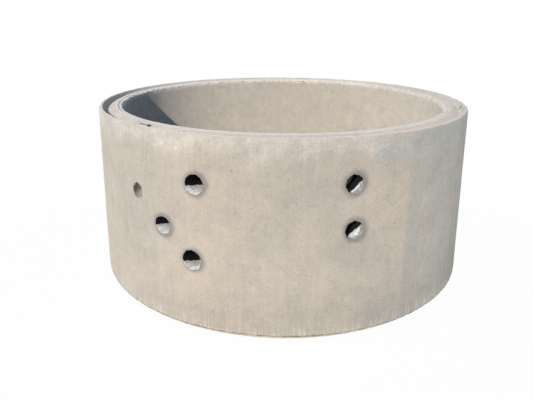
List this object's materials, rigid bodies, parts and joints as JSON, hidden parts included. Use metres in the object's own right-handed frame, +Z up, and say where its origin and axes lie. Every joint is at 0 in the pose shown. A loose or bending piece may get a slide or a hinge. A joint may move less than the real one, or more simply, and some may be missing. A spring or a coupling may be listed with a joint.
{
  "type": "perforated concrete culvert ring",
  "caption": "Precast round concrete wall ring with a tongue and groove joint and drilled outlets, stacked to build soakaways, manholes and culvert shafts.",
  "frame": {"origin": "on the ring's axis, at the level of the floor that it stands on", "axes": "+Z up along the ring's axis, -Y towards the viewer of the picture, +X to the viewer's right"},
  "size_m": [1.71, 1.7096, 0.767],
  "materials": {
    "concrete": "dry as-cast concrete, matt, mottled, with small pits and worn pale edges"
  },
  "bodies": {
    "root": {"concrete_ring": "concrete"}
  },
  "joints": []
}
